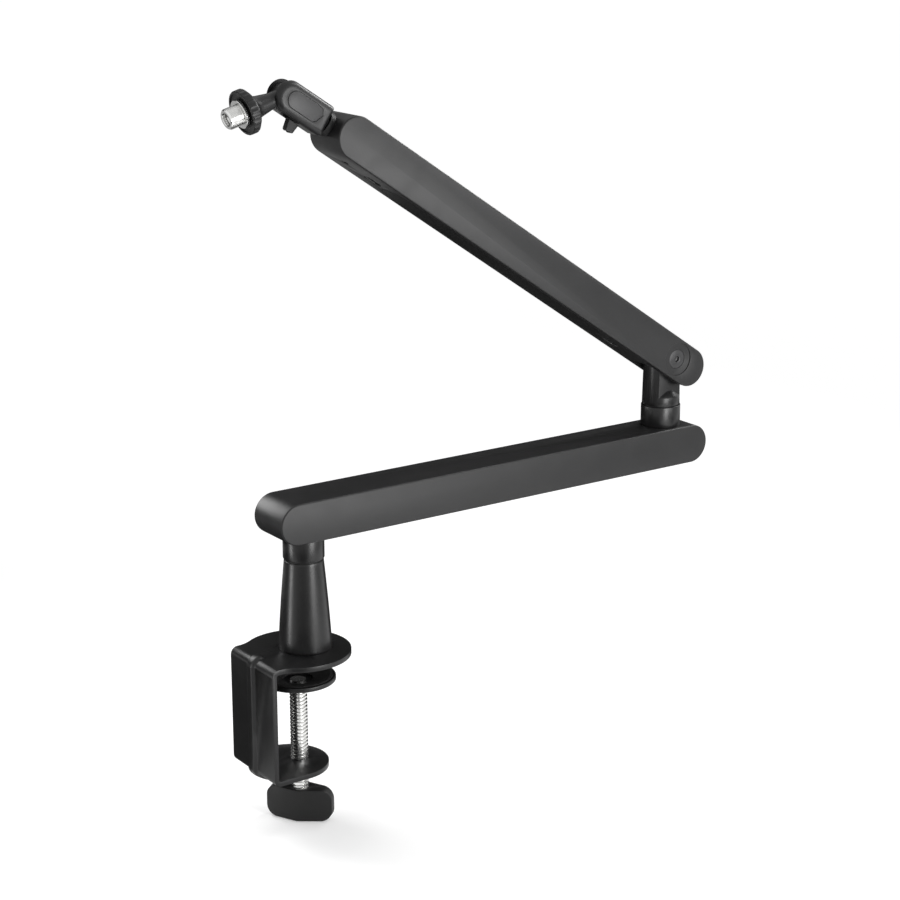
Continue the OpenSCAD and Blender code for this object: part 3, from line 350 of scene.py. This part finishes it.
def broken_edges(node, width):
    """A copy of a CAD node's mesh whose sharp edges are rounded by a width in millimetres."""
    mesh = nodes[node].data.copy()
    work = bmesh.new()
    work.from_mesh(mesh)
    bmesh.ops.remove_doubles(work, verts=work.verts, dist=CAD_MERGE)
    bmesh.ops.dissolve_limit(work, angle_limit=math.radians(FLAT_ANGLE),
                             use_dissolve_boundaries=False, verts=work.verts, edges=work.edges)
    work.to_mesh(mesh)
    work.free()
    holder = show("holder", mesh)
    round_off = holder.modifiers.new("round_off", "BEVEL")
    round_off.width = width * MM
    round_off.segments = ROUND_SEGMENTS
    round_off.limit_method = "ANGLE"
    round_off.angle_limit = math.radians(ROUND_ANGLE)
    round_off.miter_outer = "MITER_ARC"
    round_off.use_clamp_overlap = True
    graph = bpy.context.evaluated_depsgraph_get()
    done = bpy.data.meshes.new_from_object(holder.evaluated_get(graph))
    bpy.data.objects.remove(holder)
    set_smooth(done, SMOOTH_ANGLE)
    stand_for(done, node + "_shape", node)


def grid_mesh(name, points, ring):
    """A closed mesh over a numpy grid of points (rows, columns, xyz), in metres.

    A ring joins the last row to the first. Otherwise the first and last rows are closed with a
    centre point each.
    """
    rows, cols, _ = points.shape
    verts = points.reshape(-1, 3)
    i = np.arange(rows if ring else rows - 1)[:, None]
    j = np.arange(cols - 1)[None, :]
    i2, j2 = (i + 1) % rows, j + 1
    corners = [i * cols + j, i * cols + j2, i2 * cols + j2, i2 * cols + j]
    faces = np.stack(corners, -1).reshape(-1, 4).tolist()
    if not ring:
        verts = np.vstack([verts, points[0].mean(0), points[-1].mean(0)])
        low, high = rows * cols, rows * cols + 1
        k = np.arange(cols)
        k2 = (k + 1) % cols
        end = (rows - 1) * cols
        faces += np.stack([np.full(cols, low), k2, k], -1).tolist()
        faces += np.stack([np.full(cols, high), end + k, end + k2], -1).tolist()
    mesh = bpy.data.meshes.new(name)
    mesh.from_pydata(verts.tolist(), [], faces)
    work = bmesh.new()
    work.from_mesh(mesh)
    bmesh.ops.remove_doubles(work, verts=work.verts, dist=GRID_MERGE)
    bmesh.ops.recalc_face_normals(work, faces=work.faces)
    work.to_mesh(mesh)
    work.free()
    return mesh


def circles(rows, sides):
    """Plain rings (radius, height) as a grid with the last column on the first."""
    theta = np.linspace(0, 2 * math.pi, sides + 1)
    r, h = np.array(rows, float)[:, :1], np.array(rows, float)[:, 1:]
    return np.stack([r * np.cos(theta), r * np.sin(theta), h + 0 * theta], -1)


def helix_rows(low, high, major, minor, pitch, shape, run, sides):
    """The rows of a right-hand thread between two heights.

    shape lists (share of the pitch, share of the depth) over one pitch. A point of the shape
    rises by one pitch a turn: height = low + pitch (turn + share + angle / full turn). The
    depth fades to the minor radius over run at both ends, where the heights are cut off.
    """
    theta = np.linspace(0, 2 * math.pi, sides + 1)[None, :]
    turns = int(math.ceil((high - low) / pitch)) + 1
    share = np.concatenate([[n + s for s, _ in shape] for n in range(-1, turns)])[:, None]
    rise = np.tile([d for _, d in shape], turns + 1)[:, None]
    z = np.clip(low + pitch * (share + theta / (2 * math.pi)), low, high)
    fade = np.clip((z - low) / run, 0, 1) * np.clip((high - z) / run, 0, 1)
    r = minor + (major - minor) * rise * fade
    return np.stack([r * np.cos(theta), r * np.sin(theta), z], -1)


def threaded(node, before, thread, after, at, along, sides, hollow=False):
    """A turned piece with a thread: rings before it, the thread's rows and rings after it.

    Heights are in millimetres along an axis through a point in metres. A hollow piece joins its
    last ring to its first, and a solid one is capped.
    """
    rows = [circles(before, sides), helix_rows(*thread, sides), circles(after, sides)]
    local = np.concatenate(rows) * MM
    turn = np.array(Vector((0, 0, 1)).rotation_difference(Vector(along)).to_matrix())
    name = node + "_shape"
    mesh = grid_mesh(name, local @ turn.T + np.array(at), hollow)
    set_smooth(mesh, THREAD_SMOOTH_ANGLE)
    stand_for(mesh, name, node)


# Pieces. Radii and heights are in millimetres, and rings are (radius, height).
EDGE_BREAK = 0.35
for node_name in ("clamp_frame", "lower_arm_shell", "upper_arm_shell", "clamp_knob", "base_collar",
                  "elbow_collar", "elbow_column", "tip_housing", "cheek_caps", "pressure_plate",
                  "post", "neck", "lock_ring", "hinge_bolt", "thumb_screw", "jaw_nut"):
    broken_edges(node_name, EDGE_BREAK)

# The clamp screw: a trapezoidal thread below a shoulder and a plain tenon above it
SCREW_AT = (-0.0074, 0, 0)
screw_low, screw_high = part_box("clamp_screw")
SCREW_FOOT, SCREW_TOP, SHOULDER = screw_low[2] / MM, screw_high[2] / MM, -25.4
SCREW_R, SCREW_ROOT, TENON_R, SCREW_PITCH = 7.0, 5.6, 4.0, 3.0
threaded("clamp_screw", [(5.0, SCREW_FOOT), (SCREW_ROOT, SCREW_FOOT)],
         (SCREW_FOOT + 0.5, SHOULDER - 1.2, SCREW_R, SCREW_ROOT, SCREW_PITCH, SCREW_THREAD, 0.8),
         [(SCREW_ROOT, SHOULDER - 0.3), (5.4, SHOULDER), (TENON_R, SHOULDER), (TENON_R, SCREW_TOP)],
         SCREW_AT, (0, 0, 1), sides=80)

# The adapter: a chamfered flange and the 5/8 inch thread, bored for the stud
BORE_R, FLANGE_R, FLANGE_LOW, FLANGE_HIGH, CHAMFER = 4.86, 10.8, 38.4, 40.8, 0.3
MIC_R, MIC_ROOT, MIC_PITCH, MIC_END = 7.9375, 7.39, 0.94, 51.8
threaded("thread_adapter",
         [(BORE_R, FLANGE_LOW), (FLANGE_R - CHAMFER, FLANGE_LOW), (FLANGE_R, FLANGE_LOW + CHAMFER),
          (FLANGE_R, FLANGE_HIGH - CHAMFER), (FLANGE_R - CHAMFER, FLANGE_HIGH),
          (MIC_ROOT, FLANGE_HIGH)],
         (FLANGE_HIGH + 0.1, MIC_END - 0.6, MIC_R, MIC_ROOT, MIC_PITCH, MIC_THREAD, 0.5),
         [(7.2, MIC_END - 0.3), (6.9, MIC_END), (5.3, MIC_END), (BORE_R, MIC_END - 0.4)],
         NECK_AT, NECK_ALONG, sides=96, hollow=True)

# The 3/8 inch stud: plain in the neck, threaded in the adapter, with a hollow in its end
STUD_R, STUD_ROOT, STUD_PITCH = 4.76, 4.1, 1.5875
STUD_FOOT, STUD_THREAD, STUD_END = 22.4, 36.0, 48.7
threaded("mic_stud",
         [(3.6, STUD_FOOT), (4.3, STUD_FOOT), (STUD_R, STUD_FOOT + 0.6), (STUD_R, STUD_THREAD)],
         (STUD_THREAD + 0.2, STUD_END - 0.4, STUD_R, STUD_ROOT, STUD_PITCH, MIC_THREAD, 0.5),
         [(4.0, STUD_END), (2.4, STUD_END), (2.2, STUD_END - 0.3)],
         NECK_AT, NECK_ALONG, sides=64)


# Studio
FLOOR_Z = -0.1385
FLOOR_HALF = 30.0
FLOOR_TONE = 0.85
# The floor's glow for the camera: far away, how much less at the middle, and over what radius
FLOOR_GLOW = (0.73, 0.53, 0.56)
FLOOR_MIDDLE = (0.1, 0.0, FLOOR_Z)
WORLD_FILL = 0.35
# Soft boxes: name, direction, distance, width, height, radiance and the point that they aim at
LAMPS = (
    ("front", (0.3, -0.75, 0.165), 0.83, 0.6, 0.42, 4.3, (0.12, 0.0, 0.16)),
    ("low", (0.1, -0.85, -0.05), 0.9, 0.36, 0.42, 9.0, (0.12, 0.0, 0.16)),
    ("left", (-0.977, 0.21, -0.15), 0.6, 0.12, 0.25, 12.0, (0.0, 0.0, 0.05)),
    ("overhead", (0.553, -0.276, 0.786), 1.1, 0.22, 0.22, 10.0, (0.12, 0.0, 0.16)),
    ("right", (0.945, 0.08, 0.32), 1.1, 0.3, 0.35, 16.0, (0.0, 0.0, 0.44)),
    ("rim", (-0.27, 0.8, 0.53), 0.42, 0.28, 0.28, 6.7, (-0.04, 0.0, 0.07)),
)
CARD_TONE = 0.003
CARD_Z = FLOOR_Z + 0.0005
# Dark cards, upright or lying just above the floor: name, left and right, near and far, bottom
# and top, how bright reflections see them and whether they cast a shadow. The flag's shadow
# keeps the rim lamp off the head.
CARDS = (
    ("back_card", (-0.9, 1.5), (0.5, 0.5), (-0.05, 0.75), 0.03, False),
    ("behind_card", (-0.9, 1.5), (0.07, 0.68), (CARD_Z, CARD_Z), 0.03, False),
    ("near_card", (-0.75, -0.08), (-1.0, -0.2), (CARD_Z, CARD_Z), 0.03, False),
    ("right_card", (0.66, 1.0), (-0.95, -0.45), (CARD_Z, CARD_Z), 0.03, False),
    ("flag", (-0.2, 0.12), (0.1, 0.1), (0.27, 0.45), 0.45, True),
)
CAMERA_AT = (-0.82999, -1.37864, 0.62811)
AZIMUTH = math.radians(-35.102)
ELEVATION = math.radians(16.038)
LENS = 87.1636
SENSOR = 36.0
CLIP_END = 50


def place_camera():
    """The photograph's camera, from the fit of its outlines."""
    back = Vector((math.sin(AZIMUTH) * math.cos(ELEVATION),
                   -math.cos(AZIMUTH) * math.cos(ELEVATION), math.sin(ELEVATION)))
    right = Vector((0, 0, 1)).cross(back).normalized()
    up = back.cross(right)
    data = bpy.data.cameras.new("camera")
    data.lens = LENS
    data.sensor_width = SENSOR
    data.clip_end = CLIP_END
    cam = show("camera", data)
    cam.matrix_world = Matrix((
        (right.x, up.x, back.x, CAMERA_AT[0]), (right.y, up.y, back.y, CAMERA_AT[1]),
        (right.z, up.z, back.z, CAMERA_AT[2]), (0, 0, 0, 1)))
    bpy.context.scene.camera = cam


def lamp(name, toward, distance, width, height, radiance, centre):
    """A soft box in a direction from a point that it aims at; its face gives off a set radiance."""
    data = bpy.data.lights.new(name, "AREA")
    data.shape = "RECTANGLE"
    data.size = width
    data.size_y = height
    data.energy = radiance * math.pi * width * height
    obj = show(name, data)
    aim = Vector(centre)
    obj.location = aim + Vector(toward).normalized() * distance
    obj.rotation_euler = (aim - obj.location).to_track_quat("-Z", "Y").to_euler()
    obj.visible_camera = False


def seen_rays(tree):
    """A node output that is 1 for camera, glossy and transmission rays, and 0 otherwise."""
    path = tree.nodes.new("ShaderNodeLightPath")
    last = path.outputs["Is Camera Ray"]
    for other in ("Is Glossy Ray", "Is Transmission Ray"):
        last = calculate(tree, "MAXIMUM", last, path.outputs[other])
    return last


def sheet(name, corners, tone):
    """One flat face and its material, a plain grey that glows white and doesn't shine."""
    mesh = bpy.data.meshes.new(name)
    mesh.from_pydata(corners, [], [(0, 1, 2, 3)])
    obj = show(name, mesh)
    m = Material(name)
    m.fix({"Base Color": (tone, tone, tone, 1), "Specular IOR Level": 0.0,
           "Emission Color": (1, 1, 1, 1)})
    mesh.materials.append(m.mat)
    return obj, m


def white_floor(far, less, radius):
    """A wide pale floor with a glow for the camera, so that it shows white but for shadows.

    The lamps light it most round its middle, so there it glows less:
    glow = far - less / (1 + (distance / radius) squared).
    """
    s = FLOOR_HALF
    corners = [(-s, -s, FLOOR_Z), (s, -s, FLOOR_Z), (s, s, FLOOR_Z), (-s, s, FLOOR_Z)]
    obj, m = sheet("floor", corners, FLOOR_TONE)
    m.fix({"Roughness": 0.9})
    where = m.add("ShaderNodeTexCoord")
    offset = m.add("ShaderNodeVectorMath", operation="SUBTRACT")
    offset.inputs[1].default_value = FLOOR_MIDDLE
    m.join(where.outputs["Object"], offset.inputs[0])
    reach = m.add("ShaderNodeVectorMath", operation="LENGTH")
    m.join(offset.outputs[0], reach.inputs[0])
    share = calculate(m.tree, "DIVIDE", reach.outputs["Value"], radius)
    squared = calculate(m.tree, "POWER", share, 2.0)
    dip = calculate(m.tree, "DIVIDE", less, calculate(m.tree, "ADD", squared, 1.0))
    glow = calculate(m.tree, "SUBTRACT", far, dip)
    m.drive(calculate(m.tree, "MULTIPLY", glow, seen_rays(m.tree)), "Emission Strength")


def white_world(fill):
    """Even light, seen as white by the camera and in reflections."""
    world = bpy.data.worlds.new("world")
    bpy.context.scene.world = world
    world.use_nodes = True
    tree = world.node_tree
    background = tree.nodes["Background"]
    background.inputs["Color"].default_value = (1, 1, 1, 1)
    level = map_range(tree, seen_rays(tree), 0.0, 1.0, fill, 1.0)
    tree.links.new(level, background.inputs["Strength"])


def dark_card(name, x, y, z, glow, shades):
    """A dark card of the studio, seen only in reflections and perhaps by its shadow.

    It runs from the first ends of y and z to their second ends. glow is how bright reflections
    see it, and shades is whether it casts a shadow.
    """
    corners = [(x[0], y[0], z[0]), (x[1], y[0], z[0]), (x[1], y[1], z[1]), (x[0], y[1], z[1])]
    obj, m = sheet(name, corners, CARD_TONE)
    m.fix({"Emission Strength": glow})
    obj.visible_camera = obj.visible_diffuse = obj.visible_transmission = False
    obj.visible_shadow = shades


place_camera()
white_floor(*FLOOR_GLOW)
white_world(WORLD_FILL)
for card_row in CARDS:
    dark_card(*card_row)
for lamp_row in LAMPS:
    lamp(*lamp_row)

bpy.context.scene.view_settings.view_transform = "Standard"
